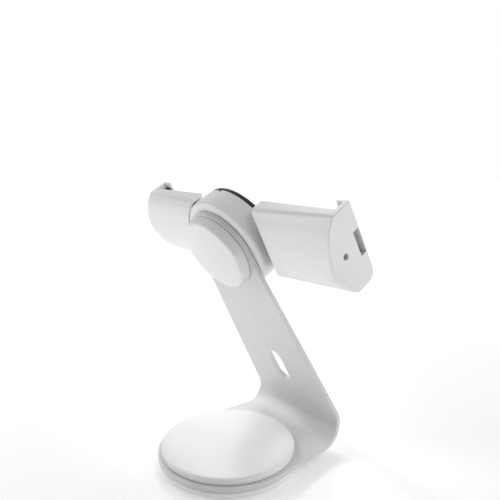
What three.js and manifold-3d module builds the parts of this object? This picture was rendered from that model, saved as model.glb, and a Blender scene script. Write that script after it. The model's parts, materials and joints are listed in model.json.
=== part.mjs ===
// Tablet stand: a round weighted base, one bent steel arm, and a turning head with two sliding jaws.
// Millimetres, +Z up. The origin is the centre of the base on the table, and the screen faces -Y.

import * as THREE from 'three';
import { mergeVertices } from 'three/addons/utils/BufferGeometryUtils.js';
import Module from 'manifold-3d';

const wasm = await Module();
wasm.setup();

// ---------------------------------------------------------------- driving dimensions

const GAP = 0.3; // clearance between pieces that touch
const BORE_PLAY = 0.15; // clearance all round a shaft or a thread
const PLATE = 3.0; // thickness of the bent arm plate

const BASE_R = 46.3; // foot disc of the arm
const FOOT_TOP = 7.5; // height of the arm's foot above the table
const PAD_R = 43.0;
const PAD_HEIGHT = 1.2;
const PAD_MARGIN = 0.4; // a rubber pad's clearance to the side of its recess
const WEIGHT_BOTTOM = 0.6;

const LEAN = THREE.MathUtils.degToRad(29.6); // the upright leans back from vertical
const HEAD_Y = 4.9; // head axis, on the arm's back face
const HEAD_Z = 141.3;
const HEAD_R = 26.1; // rounded top end of the arm
const BEND_R = 12.0; // inner radius of the bend
const SLOT_BELOW = 101.5; // cable slot, measured down the arm from the head axis
const SLOT_LENGTH = 28.2;
const SLOT_WIDTH = 12.4;

const BASE_CAP_R = 44.0;
const BASE_CAP_EDGE = 11.4; // height of the cap's rounded edge
const BASE_CAP_TOP = 12.6;
const BASE_CAP_WALL = 1.8;
const BASE_SCREW_RING = 35.5;
const BASE_SCREW_HOLE_R = 2.3;

const SHAFT_R = 7.9;
const SHAFT_BORE = 4.0;
const PIVOT_CAP_R = 24.7;
const PIVOT_CAP_DEPTH = 7.2;
const PIVOT_CAP_CROWN = 1.3;
const PIVOT_CAP_WALL = 1.8;

const DRUM_R = 31.5;
const DRUM_FRONT = 3.5; // depths are measured from the arm's back face towards the tablet
const DRUM_REAR = 19.5;
const DRUM_WALL = 2.2;
const DRUM_ROUND = 2.5;
const BOSS_X = 12.0; // the four bosses that the carrier bar is screwed to
const BOSS_Y = 8.0;
const BOSS_R = 3.0;
const BOSS_PILOT_R = 1.4;
const BOSS_PILOT_FROM = 10.0;
const BACK_PLANE = 22.5; // the tablet's back rests here
const TABLET_DEPTH = 6.0;

const JAW_HALF_HEIGHT = 24.0;
const JAW_CROWN_R = 30.0;
const JAW_CROWN_DEPTH = 4.4; // the highest line of the jaw's crowned back
const JAW_INNER_R = 38.0; // the jaw's inner end is an arc about the head axis
const JAW_OUTER = 88.4;
const JAW_END_WALL = 3.0;
const JAW_WALL = 2.0;
const JAW_FRONT = 30.7;
const JAW_LOW_CORNER = 4.0;
const JAW_TOP_CORNER = 2.4;
const JAW_FRONT_CORNER = 6.0;
const LIP_REACH = 8.0;
const PORT_LOW = -7.2;
const PORT_HIGH = 8.2;
const PORT_DEPTHS = [25.5, 30.0];
const SCREW_DEPTH = 15.3; // clamp screws and key holes lie on this line
const SCREW_R = 2.0;
const KEY_HOLE_R = 1.9;
const BAR_DEPTHS = [17.9, 19.4];
const BAR_HALF_WIDTH = 11.0;

// ---------------------------------------------------------------- materials

function finish(color, roughness, metalness) {
  return new THREE.MeshStandardMaterial({ color, roughness, metalness });
}

const whitePaint = () => finish(0xe6e6e4, 0.45, 0.1);
const whitePlastic = () => finish(0xf0f0ee, 0.35, 0);
const blackRubber = () => finish(0x1b1b1c, 0.85, 0);
const blackPlastic = () => finish(0x202022, 0.5, 0);
const steel = () => finish(0xa9abae, 0.35, 0.9);
const brass = () => finish(0xb59a5c, 0.35, 0.9);
const fibre = () => finish(0x6b5a48, 0.8, 0);

// ---------------------------------------------------------------- solids from three.js geometry

const SAME_POINT = 1e-4; // vertices closer than this are one

// Merges the shared vertices of a geometry, by position alone.
function welded(geometry) {
  geometry.deleteAttribute('normal');
  geometry.deleteAttribute('uv');
  return mergeVertices(geometry, SAME_POINT);
}

function toSolid(geometry) {
  const merged = welded(geometry);
  const vertProperties = new Float32Array(merged.attributes.position.array);
  const triVerts = new Uint32Array(merged.index.array);
  return new wasm.Manifold(new wasm.Mesh({ numProp: 3, vertProperties, triVerts }));
}

function toGeometry(solid) {
  const mesh = solid.getMesh();
  const geometry = new THREE.BufferGeometry();
  geometry.setAttribute('position', new THREE.BufferAttribute(new Float32Array(mesh.vertProperties), 3));
  geometry.setIndex(new THREE.BufferAttribute(new Uint32Array(mesh.triVerts), 1));
  geometry.computeVertexNormals();
  return geometry;
}

function piece(name, solid, material) {
  const mesh = new THREE.Mesh(toGeometry(solid), material);
  mesh.name = name;
  return mesh;
}

function cut(solid, ...tools) {
  return tools.reduce((rest, tool) => rest.subtract(tool), solid);
}

function join(first, ...others) {
  return others.reduce((whole, other) => whole.add(other), first);
}

// A box between two corners.
function box(low, high) {
  const size = high.map((value, axis) => value - low[axis]);
  const geometry = new THREE.BoxGeometry(...size);
  geometry.translate(...low.map((value, axis) => value + size[axis] / 2));
  return toSolid(geometry);
}

// A round bar along Z, centred on (x, y), from z = low to z = high.
function barZ(radius, x, y, low, high, sides = 24) {
  const geometry = new THREE.CylinderGeometry(radius, radius, high - low, sides);
  geometry.rotateX(Math.PI / 2);
  geometry.translate(x, y, (low + high) / 2);
  return toSolid(geometry);
}

// A round bar along X, centred on (y, z), from x = low to x = high.
function barX(radius, y, z, low, high, sides = 24) {
  const geometry = new THREE.CylinderGeometry(radius, radius, high - low, sides);
  geometry.rotateZ(Math.PI / 2);
  geometry.translate((low + high) / 2, y, z);
  return toSolid(geometry);
}

// A profile of [radius, height] points turned about Z. It starts and ends on the axis, or closes.
function turned(profile, sides = 40) {
  const points = profile.map(([radius, height]) => new THREE.Vector2(radius, height));
  const onAxis = points[0].x === 0 && points[points.length - 1].x === 0;
  if (!onAxis) {
    points.push(points[0].clone());
  }
  const geometry = new THREE.LatheGeometry(points, sides);
  geometry.rotateX(Math.PI / 2);
  return toSolid(withoutSlivers(welded(geometry)));
}

// Drops the collapsed triangles that a turned profile has on its axis.
function withoutSlivers(geometry) {
  const source = geometry.index.array;
  const kept = [];
  for (let i = 0; i < source.length; i += 3) {
    const [a, b, c] = [source[i], source[i + 1], source[i + 2]];
    if (a !== b && b !== c && c !== a) {
      kept.push(a, b, c);
    }
  }
  geometry.setIndex(kept);
  return geometry;
}

// A plain disc about Z.
function disc(radius, low, high, sides = 40) {
  return turned([[0, low], [radius, low], [radius, high], [0, high]], sides);
}

// A flat ring or washer about Z.
function ring(innerR, outerR, low, high, sides = 32) {
  return turned([[innerR, low], [outerR, low], [outerR, high], [innerR, high]], sides);
}

// A quarter round from angle `from` to `to` about a centre, as [radius, height] points.
function arcPoints(centreR, centreZ, radius, from, to, steps) {
  return Array.from({ length: steps + 1 }, (_, i) => {
    const angle = from + ((to - from) * i) / steps;
    return [centreR + radius * Math.cos(angle), centreZ + radius * Math.sin(angle)];
  });
}

// A pan-head screw about Z: the head's flat underside at `seat`, its shank going down by `length`.
function screwZ(x, y, seat, { headR, headHeight, shankR, length }) {
  const head = barZ(headR, x, y, seat, seat + headHeight, 20);
  const shank = barZ(shankR, x, y, seat - length, seat + headHeight / 2, 12);
  const socket = new THREE.CylinderGeometry(headR * 0.45, headR * 0.45, headHeight, 6);
  socket.rotateX(Math.PI / 2);
  socket.translate(x, y, seat + headHeight);
  return cut(join(head, shank), toSolid(socket));
}

// Points spread evenly round a circle.
function around(radius, count, start) {
  return Array.from({ length: count }, (_, i) => {
    const angle = start + (2 * Math.PI * i) / count;
    return [radius * Math.cos(angle), radius * Math.sin(angle)];
  });
}

// ---------------------------------------------------------------- base

const screwSpots = around(BASE_SCREW_RING, 4, Math.PI / 4);
const FOOT_BOTTOM = FOOT_TOP - PLATE;
const CLIP_BOTTOM = FOOT_TOP + GAP;
const CLIP_FLANGE = 1.0;

function footPad() {
  return piece('foot_pad', disc(PAD_R, 0, PAD_HEIGHT), blackRubber());
}

function baseWeight() {
  const top = FOOT_BOTTOM - GAP;
  const recess = PAD_HEIGHT + GAP;
  const recessR = PAD_R + PAD_MARGIN;
  const edge = 0.6;
  const footR = BASE_R - 0.4; // the side leans in a little towards the table
  const profile = [
    [0, recess],
    [recessR, recess],
    [recessR, WEIGHT_BOTTOM],
    [footR - edge, WEIGHT_BOTTOM],
    [footR, WEIGHT_BOTTOM + edge],
    [BASE_R, top - edge],
    [BASE_R - edge, top],
    [0, top],
  ];
  const holes = screwSpots.map(([x, y]) => barZ(BASE_SCREW_HOLE_R, x, y, 0, FOOT_BOTTOM, 16));
  return piece('base_weight', cut(turned(profile), ...holes), whitePaint());
}

// A flange screwed to the foot, with a rim that the cap snaps over.
function baseClipRing() {
  const rimTop = BASE_CAP_EDGE - BASE_CAP_WALL;
  const innerR = 31.0;
  const rimInnerR = 39.8;
  const rimOuterR = 41.6;
  const flangeTop = CLIP_BOTTOM + CLIP_FLANGE;
  const profile = [
    [innerR, CLIP_BOTTOM],
    [rimOuterR, CLIP_BOTTOM],
    [rimOuterR, rimTop],
    [rimInnerR, rimTop],
    [rimInnerR, flangeTop],
    [innerR, flangeTop],
  ];
  const holes = screwSpots.map(([x, y]) => barZ(BASE_SCREW_HOLE_R, x, y, FOOT_TOP, flangeTop + 1, 16));
  return piece('base_clip_ring', cut(turned(profile), ...holes), blackPlastic());
}

function baseScrews() {
  const seat = CLIP_BOTTOM + CLIP_FLANGE + GAP;
  const tip = PAD_HEIGHT + 0.8;
  const sizes = { headR: 3.2, headHeight: 1.2, shankR: 2.0, length: seat - tip };
  return screwSpots.map(([x, y], i) => piece(`base_screw_${i + 1}`, screwZ(x, y, seat, sizes), steel()));
}

function baseCap() {
  const ceiling = BASE_CAP_TOP - BASE_CAP_WALL - GAP;
  const innerR = BASE_CAP_R - BASE_CAP_WALL - GAP;
  const draft = 0.2;
  const roundR = 1.4;
  const edge = arcPoints(BASE_CAP_R - draft - roundR, BASE_CAP_EDGE - roundR, roundR, 0, Math.PI / 2, 3);
  const crownR = 30;
  const crownDrop = 0.45;
  const crown = [crownR, crownR / 2, 0].map((radius) => {
    return [radius, BASE_CAP_TOP - crownDrop * (radius / crownR) ** 2];
  });
  const profile = [
    [0, ceiling],
    [innerR, ceiling],
    [innerR, CLIP_BOTTOM],
    [BASE_CAP_R, CLIP_BOTTOM],
    ...edge,
    ...crown,
  ];
  return piece('base_cap', turned(profile, 48), whitePlastic());
}

// ---------------------------------------------------------------- arm

// The flat pattern is a teardrop: straight edges touch the head circle and the foot circle.
// `along` runs down the plate's middle from the head axis, and `depth` goes in from the back face.
const TURN = Math.PI / 2 + LEAN;
const CORNER = (HEAD_Z - FOOT_TOP) / Math.cos(LEAN);
const SETBACK = BEND_R / Math.tan((Math.PI - TURN) / 2);
const BEND_START = CORNER - SETBACK;
const BEND_LENGTH = (BEND_R + PLATE / 2) * TURN;
const BEND_Y = HEAD_Y - CORNER * Math.sin(LEAN) + SETBACK;
const FLAT_LENGTH = BEND_START + BEND_LENGTH - BEND_Y;
const EDGE_ANGLE = Math.asin((BASE_R - HEAD_R) / FLAT_LENGTH);

function halfWidth(along) {
  return HEAD_R / Math.cos(EDGE_ANGLE) + along * Math.tan(EDGE_ANGLE);
}

function onArm(across, along, depth) {
  if (along <= BEND_START) {
    const y = HEAD_Y - along * Math.sin(LEAN) - depth * Math.cos(LEAN);
    const z = HEAD_Z - along * Math.cos(LEAN) + depth * Math.sin(LEAN);
    return new THREE.Vector3(across, y, z);
  }
  if (along <= BEND_START + BEND_LENGTH) {
    const angle = -LEAN + (TURN * (along - BEND_START)) / BEND_LENGTH;
    const radius = BEND_R + depth;
    const y = BEND_Y - radius * Math.cos(angle);
    const z = FOOT_TOP + BEND_R - radius * Math.sin(angle);
    return new THREE.Vector3(across, y, z);
  }
  return new THREE.Vector3(across, BEND_Y + along - BEND_START - BEND_LENGTH, FOOT_TOP - depth);
}

// The straight-sided strip between the two discs, bent by moving a segmented box's vertices.
function armStrip() {
  const bendRows = 12;
  const rows = [-HEAD_R * Math.sin(EDGE_ANGLE), 0];
  for (let i = 0; i <= bendRows; i += 1) {
    rows.push(BEND_START + (BEND_LENGTH * i) / bendRows);
  }
  rows.push(FLAT_LENGTH - BASE_R * Math.sin(EDGE_ANGLE));
  const last = rows.length - 1;
  const geometry = new THREE.BoxGeometry(2, last, 1, 1, last, 1);
  const position = geometry.attributes.position;
  for (let i = 0; i < position.count; i += 1) {
    const along = rows[Math.round(last / 2 - position.getY(i))];
    const across = position.getX(i) * halfWidth(along);
    const depth = (0.5 + position.getZ(i)) * PLATE;
    position.setXYZ(i, ...onArm(across, along, depth).toArray());
  }
  return toSolid(geometry);
}

function headPlacement() {
  const placement = new THREE.Matrix4().makeRotationX(Math.PI / 2 - LEAN);
  placement.setPosition(0, HEAD_Y, HEAD_Z);
  return placement;
}

// Puts a solid made in the head's own frame (X across, Y up the tablet, Z towards it) on the arm.
function placedAtHead(solid) {
  const geometry = toGeometry(solid);
  geometry.applyMatrix4(headPlacement());
  return toSolid(geometry);
}

function cableSlot() {
  const radius = SLOT_WIDTH / 2;
  const reach = SLOT_LENGTH / 2 - radius;
  const middle = box([-radius, -SLOT_BELOW - reach, -1], [radius, -SLOT_BELOW + reach, PLATE + 1]);
  const top = barZ(radius, 0, -SLOT_BELOW + reach, -1, PLATE + 1, 32);
  const bottom = barZ(radius, 0, -SLOT_BELOW - reach, -1, PLATE + 1, 32);
  return join(middle, top, bottom);
}

const CAP_RING_SCREW_RING = 20.2;
const CAP_RING_HOLE_R = 1.2;
const capRingSpots = around(CAP_RING_SCREW_RING, 3, Math.PI / 2);

function armPlate() {
  const headDisc = placedAtHead(barZ(HEAD_R, 0, 0, 0, PLATE, 48));
  const footDisc = barZ(BASE_R, 0, 0, FOOT_BOTTOM, FOOT_TOP, 48);
  const headHoles = capRingSpots.map(([x, y]) => barZ(CAP_RING_HOLE_R, x, y, -1, PLATE + 1, 12));
  const headCuts = [barZ(SHAFT_R + BORE_PLAY, 0, 0, -1, PLATE + 1, 48), cableSlot(), ...headHoles];
  const footCuts = screwSpots.map(([x, y]) => {
    return barZ(BASE_SCREW_HOLE_R, x, y, FOOT_BOTTOM - 1, FOOT_TOP + 1, 16);
  });
  const blank = join(armStrip(), headDisc, footDisc);
  return piece('arm_plate', cut(blank, ...headCuts.map(placedAtHead), ...footCuts), whitePaint());
}

// ---------------------------------------------------------------- pivot, in the head's own frame

// Behind the arm the depths are negative: the cap, its ring, the washers and the nut sit there.
const CAP_RING_REAR = -1.8;
const WASHER_R = SHAFT_R + 0.4; // inner radius of the washers on the shaft
const FRICTION_REAR = -1.3;

function pivotCap() {
  const innerR = PIVOT_CAP_R - PIVOT_CAP_WALL - 0.4;
  const draft = 0.6;
  const roundR = 1.2;
  const ceiling = -PIVOT_CAP_DEPTH + 0.5;
  const edgeR = PIVOT_CAP_R - draft - roundR;
  const edge = arcPoints(edgeR, -PIVOT_CAP_DEPTH + roundR, roundR, 0, -Math.PI / 2, 3);
  const profile = [
    [0, ceiling],
    [innerR, ceiling],
    [innerR, -GAP],
    [PIVOT_CAP_R, -GAP],
    ...edge,
    [PIVOT_CAP_R / 2, -PIVOT_CAP_DEPTH - PIVOT_CAP_CROWN * 0.75],
    [0, -PIVOT_CAP_DEPTH - PIVOT_CAP_CROWN],
  ];
  return piece('pivot_cap', turned(profile.reverse(), 48), whitePlastic());
}

function capRing() {
  const body = ring(18.2, 22.1, CAP_RING_REAR, -GAP);
  const holes = capRingSpots.map(([x, y]) => barZ(CAP_RING_HOLE_R, x, y, CAP_RING_REAR - 1, 0, 12));
  return piece('cap_ring', cut(body, ...holes), blackPlastic());
}

// Their heads point away from the tablet, so they are made upright and turned over.
function capRingScrews() {
  const seat = -CAP_RING_REAR + GAP;
  const sizes = { headR: 1.5, headHeight: 1.0, shankR: 0.9, length: 4.4 };
  return capRingSpots.map(([x, y], i) => {
    const upright = toGeometry(screwZ(x, -y, seat, sizes));
    upright.rotateX(Math.PI);
    return piece(`cap_ring_screw_${i + 1}`, toSolid(upright), steel());
  });
}

function outerFrictionWasher() {
  return piece('friction_washer_outer', ring(WASHER_R, 14, FRICTION_REAR, -GAP), fibre());
}

function springWasher() {
  const outerR = 13.4;
  const thickness = 0.6;
  const dish = 0.7; // how much deeper its inner edge lies than its outer one
  const front = FRICTION_REAR - GAP;
  const profile = [
    [WASHER_R, front - dish - thickness],
    [outerR, front - thickness],
    [outerR, front],
    [WASHER_R, front - dish],
  ];
  return piece('spring_washer', turned(profile), steel());
}

function pivotNut() {
  const cornerR = 11.6;
  const [rear, front] = [-5.4, -3.2];
  const hexagon = barZ(cornerR, 0, 0, rear, front, 6);
  const bore = barZ(SHAFT_R + GAP, 0, 0, rear - 1, front + 1, 48);
  return piece('pivot_nut', cut(hexagon, bore), steel());
}

function innerFrictionWasher() {
  return piece('friction_washer_inner', ring(WASHER_R, 15.6, PLATE + GAP, 4.7), fibre());
}

function pivotShaft() {
  const [rear, shoulder, front] = [-5.8, 7.3, 9.2];
  const flangeR = 10.5;
  const profile = [
    [SHAFT_BORE, rear],
    [SHAFT_R, rear],
    [SHAFT_R, shoulder],
    [flangeR, shoulder],
    [flangeR, front],
    [SHAFT_BORE, front],
  ];
  return piece('pivot_shaft', turned(profile), steel());
}

// ---------------------------------------------------------------- drum and carrier

const bossSpots = [[-BOSS_X, -BOSS_Y], [BOSS_X, -BOSS_Y], [-BOSS_X, BOSS_Y], [BOSS_X, BOSS_Y]];

// An open drum with a thicker hub, four bosses, a window each side for the bar and a notch on top.
function drumHousing() {
  const floor = DRUM_FRONT + DRUM_WALL + 0.8;
  const hubInnerR = SHAFT_R + BORE_PLAY;
  const hubOuterR = 18;
  const [hubFront, hubRear] = [5, 7];
  const washerSeatR = 16;
  const corner = arcPoints(DRUM_R - DRUM_ROUND, DRUM_FRONT + DRUM_ROUND, DRUM_ROUND, -Math.PI / 2, 0, 3);
  const profile = [
    [hubInnerR, hubFront],
    [washerSeatR, hubFront],
    [washerSeatR, DRUM_FRONT],
    ...corner,
    [DRUM_R, DRUM_REAR],
    [DRUM_R - DRUM_WALL, DRUM_REAR],
    [DRUM_R - DRUM_WALL, floor],
    [hubOuterR, floor],
    [hubOuterR, hubRear],
    [hubInnerR, hubRear],
  ];
  const bosses = bossSpots.map(([x, y]) => barZ(BOSS_R, x, y, floor - 0.5, BAR_DEPTHS[0] - GAP, 16));
  const pilots = bossSpots.map(([x, y]) => barZ(BOSS_PILOT_R, x, y, BOSS_PILOT_FROM, DRUM_REAR, 12));
  const windowHalf = 12;
  const windowFront = 12.6;
  const windows = [-1, 1].map((side) => {
    const [near, far] = [side * 20, side * 40].sort((a, b) => a - b);
    return box([near, -windowHalf, windowFront], [far, windowHalf, DRUM_REAR + 1]);
  });
  const notchHalf = 1.6;
  const notchLow = [-notchHalf, DRUM_R - DRUM_WALL - 1, DRUM_REAR - 1.3];
  const notch = box(notchLow, [notchHalf, DRUM_R + 1, DRUM_REAR + 1]);
  const shell = join(turned(profile, 48), ...bosses);
  return piece('drum_housing', cut(shell, ...pilots, ...windows, notch), whitePlastic());
}

const BLOCK_X = [19, 27];
const BLOCK_HALF_HEIGHT = 8.6;
const BLOCK_FRONT = 11;
const BLOCK_SCREW_Y = 6.4;
const BLOCK_SCREW_TIP = 13;
const BLOCK_PILOT_R = 1.3;
const BAR_REACH = 64;

function carrierBar() {
  const [low, high] = BAR_DEPTHS;
  const strip = box([-BAR_REACH, -BAR_HALF_WIDTH, low], [BAR_REACH, BAR_HALF_WIDTH, high]);
  const bossHoles = bossSpots.map(([x, y]) => barZ(BOSS_PILOT_R + 0.1, x, y, low - 1, high + 1, 12));
  const blockX = (BLOCK_X[0] + BLOCK_X[1]) / 2;
  const blockHoles = [-blockX, blockX].flatMap((x) => [-BLOCK_SCREW_Y, BLOCK_SCREW_Y].map((y) => {
    return barZ(BLOCK_PILOT_R, x, y, low - 1, high + 1, 12);
  }));
  return piece('carrier_bar', cut(strip, ...bossHoles, ...blockHoles), steel());
}

// A headless screw that goes in from the tablet's side and ends just inside the bar.
function screwFromFront(name, x, y, tip, radius) {
  const top = BAR_DEPTHS[1] - 0.2;
  return piece(name, barZ(radius, x, y, tip, top, 12), steel());
}

function carrierScrews() {
  const tip = BOSS_PILOT_FROM + 0.4;
  return bossSpots.map(([x, y], i) => screwFromFront(`carrier_screw_${i + 1}`, x, y, tip, 1.1));
}

function nutBlock(side, sign) {
  const [near, far] = BLOCK_X.map((x) => x * sign).sort((a, b) => a - b);
  const rear = BAR_DEPTHS[0] - GAP;
  const body = box([near, -BLOCK_HALF_HEIGHT, BLOCK_FRONT], [far, BLOCK_HALF_HEIGHT, rear]);
  const middle = (near + far) / 2;
  const pilots = [-BLOCK_SCREW_Y, BLOCK_SCREW_Y].map((y) => {
    return barZ(BLOCK_PILOT_R, middle, y, BLOCK_SCREW_TIP - 0.5, rear + 1, 12);
  });
  const thread = barX(SCREW_R + BORE_PLAY, 0, SCREW_DEPTH, near - 1, far + 1);
  return piece(`nut_block_${side}`, cut(body, thread, ...pilots), brass());
}

function blockScrews(side, sign) {
  const middle = (sign * (BLOCK_X[0] + BLOCK_X[1])) / 2;
  return [-BLOCK_SCREW_Y, BLOCK_SCREW_Y].map((y, i) => {
    return screwFromFront(`block_screw_${side}_${i + 1}`, middle, y, BLOCK_SCREW_TIP, 1.0);
  });
}

const HUB_COVER_REAR = DRUM_REAR + GAP + 1.6;

function hubCover() {
  return piece('hub_cover', disc(DRUM_R - 0.4, DRUM_REAR + GAP, HUB_COVER_REAR, 48), blackPlastic());
}

function gripPad() {
  return piece('grip_pad', disc(DRUM_R - 1.9, HUB_COVER_REAR + GAP, BACK_PLANE, 48), blackRubber());
}

// ---------------------------------------------------------------- jaws

// Everything in a jaw is made for the +X side and mirrored for the -X side.
function mirroredX(solid) {
  const geometry = toGeometry(solid);
  geometry.scale(-1, 1, 1);
  const index = geometry.index;
  for (let i = 0; i < index.count; i += 3) {
    const second = index.getX(i + 1);
    index.setX(i + 1, index.getX(i + 2));
    index.setX(i + 2, second);
  }
  return toSolid(geometry);
}

const CORNER_SHARE = 0.5; // how far the crown stops short of a corner, as a share of its size
const LEAST_CORNER = 0.6;

// The jaw's outline in the plane across the jaw: crowned back, flat top and bottom, straight front.
function jawOutline(inset, front) {
  const half = JAW_HALF_HEIGHT - inset;
  const radius = JAW_CROWN_R - inset;
  const centre = -JAW_CROWN_DEPTH - JAW_CROWN_R;
  const lowCorner = Math.max(JAW_LOW_CORNER - inset, LEAST_CORNER);
  const topCorner = Math.max(JAW_TOP_CORNER - inset, LEAST_CORNER);
  const frontCorner = JAW_FRONT_CORNER - 2 * inset;
  const lowAngle = Math.asin((half - lowCorner * CORNER_SHARE) / radius);
  const topAngle = Math.asin((half - topCorner * CORNER_SHARE) / radius);
  const lowX = centre + radius * Math.cos(lowAngle);
  const topX = centre + radius * Math.cos(topAngle);
  const shape = new THREE.Shape();
  shape.moveTo(-front, half);
  shape.lineTo(-front, -half + frontCorner);
  shape.quadraticCurveTo(-front, -half, -front + frontCorner, -half);
  shape.lineTo(lowX - lowCorner, -half);
  const lowPull = lowCorner * CORNER_SHARE * Math.tan(lowAngle);
  shape.quadraticCurveTo(lowX - lowPull, -half, lowX, -radius * Math.sin(lowAngle));
  shape.absarc(centre, 0, radius, -lowAngle, topAngle, false);
  const topPull = topCorner * CORNER_SHARE * Math.tan(topAngle);
  shape.quadraticCurveTo(topX - topPull, half, topX - topCorner, half);
  shape.closePath();
  return shape;
}

// The outline is drawn as [-depth, height] and extruded along +X.
function jawPrism(shape, low, high) {
  const settings = { depth: high - low, bevelEnabled: false, curveSegments: 12 };
  const geometry = new THREE.ExtrudeGeometry(shape, settings);
  const turn = new THREE.Matrix4().set(
    0, 0, 1, low,
    0, 1, 0, 0,
    -1, 0, 0, 0,
    0, 0, 0, 1,
  );
  geometry.applyMatrix4(turn);
  return toSolid(geometry);
}

const WALL_FACE = BACK_PLANE - 0.3; // the jaw's own face behind the tablet
const END_INSIDE = JAW_OUTER - JAW_END_WALL;
const LIP_INSIDE = BACK_PLANE + TABLET_DEPTH + 0.8;
const PAD_X = [46, 78];
const PAD_HALF_HEIGHT = 18;
const PAD_RECESS = 0.7; // how deep the pad's recess goes into the wall
const POST_Y = 15; // the posts inside the shell that the slider is screwed to
const POST_R = 2.6;
const POST_PILOT_R = 1.2;
const SLIDER_END = 71.5;
const SLIDER_WALL = 1.5;

const SLIDER_SCREW_TIP = 79;

function jawShell() {
  const tall = JAW_HALF_HEIGHT + 5;
  const body = jawPrism(jawOutline(0, JAW_FRONT), 20, JAW_OUTER);
  const channel = box([0, -tall, WALL_FACE], [END_INSIDE, tall, LIP_INSIDE]);
  const beforeLip = box([0, -tall, WALL_FACE], [JAW_OUTER - LIP_REACH, tall, JAW_FRONT + 5]);
  const innerEnd = barZ(JAW_INNER_R, 0, 0, 0, 40, 96);
  const hollow = jawPrism(jawOutline(JAW_WALL, WALL_FACE - JAW_WALL), 0, END_INSIDE);
  const recessHalf = PAD_HALF_HEIGHT + PAD_MARGIN;
  const recessLow = [PAD_X[0] - PAD_MARGIN, -recessHalf, WALL_FACE - PAD_RECESS];
  const padRecess = box(recessLow, [PAD_X[1] + PAD_MARGIN, recessHalf, WALL_FACE + 1]);
  const keyHole = barX(KEY_HOLE_R, 0, SCREW_DEPTH, END_INSIDE - 1, JAW_OUTER + 1);
  const port = box([END_INSIDE - 1, PORT_LOW, PORT_DEPTHS[0]], [JAW_OUTER + 1, PORT_HIGH, PORT_DEPTHS[1]]);
  const posts = [-POST_Y, POST_Y].map((y) => {
    return barX(POST_R, y, SCREW_DEPTH, SLIDER_END + GAP, END_INSIDE + 1, 16);
  });
  const pilots = [-POST_Y, POST_Y].map((y) => {
    return barX(POST_PILOT_R, y, SCREW_DEPTH, SLIDER_END - 1, SLIDER_SCREW_TIP + 1, 12);
  });
  const shell = cut(body, channel, beforeLip, innerEnd, hollow);
  return cut(join(shell, ...posts), padRecess, keyHole, port, ...pilots);
}

// An inverted channel that rides on the carrier bar, with an end plate screwed to the shell's posts.
function jawSlider() {
  const [near, far] = [41, SLIDER_END];
  const inner = BAR_HALF_WIDTH + GAP;
  const outer = inner + SLIDER_WALL;
  const rear = BAR_DEPTHS[1];
  const roofFront = 11.2;
  const roof = box([near, -outer, roofFront], [far, outer, roofFront + SLIDER_WALL]);
  const sides = [-1, 1].map((sign) => {
    const [low, high] = [sign * inner, sign * outer].sort((a, b) => a - b);
    return box([near, low, roofFront], [far, high, rear]);
  });
  const endHalf = POST_Y + POST_R;
  const plate = box([far - SLIDER_WALL, -outer, 12.4], [far, outer, 17.4]);
  const ears = box([far - SLIDER_WALL, -endHalf, 13.2], [far, endHalf, 17.4]);
  const holes = [-POST_Y, POST_Y].map((y) => {
    return barX(POST_PILOT_R + 0.1, y, SCREW_DEPTH, far - SLIDER_WALL - 1, far + 1, 12);
  });
  const pass = barX(SCREW_R + BORE_PLAY, 0, SCREW_DEPTH, far - SLIDER_WALL - 1, far + 1);
  return cut(join(roof, ...sides, plate, ears), pass, ...holes);
}

// A screw along +X that fixes the slider's end plate to a post: its head is at the low end.
function sliderScrew(y) {
  const face = SLIDER_END - SLIDER_WALL - GAP;
  const headHeight = 1.4;
  const head = barX(2.1, y, SCREW_DEPTH, face - headHeight, face, 16);
  const shank = barX(1.0, y, SCREW_DEPTH, face - headHeight / 2, SLIDER_SCREW_TIP, 12);
  return join(head, shank);
}

// The clamp screw: its head bears on the slider's end plate and its thread runs in the nut block.
function clampScrew() {
  const seat = SLIDER_END + GAP;
  const tip = 4.6;
  const headLength = 4;
  const socketDepth = 2.4;
  const head = barX(3.5, 0, SCREW_DEPTH, seat, seat + headLength, 24);
  const shank = barX(SCREW_R, 0, SCREW_DEPTH, tip, seat + 1, 24);
  const socket = barX(1.6, 0, SCREW_DEPTH, seat + headLength - socketDepth, seat + headLength + 1, 6);
  return cut(join(head, shank), socket);
}

function backPad() {
  const low = [PAD_X[0], -PAD_HALF_HEIGHT, WALL_FACE - PAD_RECESS + GAP];
  return box(low, [PAD_X[1], PAD_HALF_HEIGHT, BACK_PLANE]);
}

// A rubber lining on the end wall and the lip, with a slot for a plug behind the port window.
function channelLiner() {
  const thick = 0.5;
  const half = JAW_HALF_HEIGHT - 3.5;
  const margin = 0.4;
  const wallX = END_INSIDE - GAP;
  const lipDepth = LIP_INSIDE - GAP;
  const onWall = box([wallX - thick, -half, WALL_FACE + GAP], [wallX, half, lipDepth]);
  const onLip = box([JAW_OUTER - LIP_REACH + margin, -half, lipDepth - thick], [wallX, half, lipDepth]);
  const slotInset = 3.0;
  const slotLow = [wallX - thick - 1, PORT_LOW + slotInset, PORT_DEPTHS[0] + 0.6];
  const slot = box(slotLow, [wallX + 1, PORT_HIGH - slotInset, lipDepth - thick - margin]);
  return cut(join(onWall, onLip), slot);
}

function jaw(side, sign) {
  const sided = (solid) => (sign > 0 ? solid : mirroredX(solid));
  const group = new THREE.Group();
  group.add(piece(`jaw_shell_${side}`, sided(jawShell()), whitePlastic()));
  group.add(piece(`jaw_slider_${side}`, sided(jawSlider()), steel()));
  group.add(piece(`slider_screw_${side}_1`, sided(sliderScrew(-POST_Y)), steel()));
  group.add(piece(`slider_screw_${side}_2`, sided(sliderScrew(POST_Y)), steel()));
  group.add(piece(`clamp_screw_${side}`, sided(clampScrew()), steel()));
  group.add(piece(`back_pad_${side}`, sided(backPad()), blackRubber()));
  group.add(piece(`channel_liner_${side}`, sided(channelLiner()), blackRubber()));
  return group;
}

// ---------------------------------------------------------------- assembly

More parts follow.
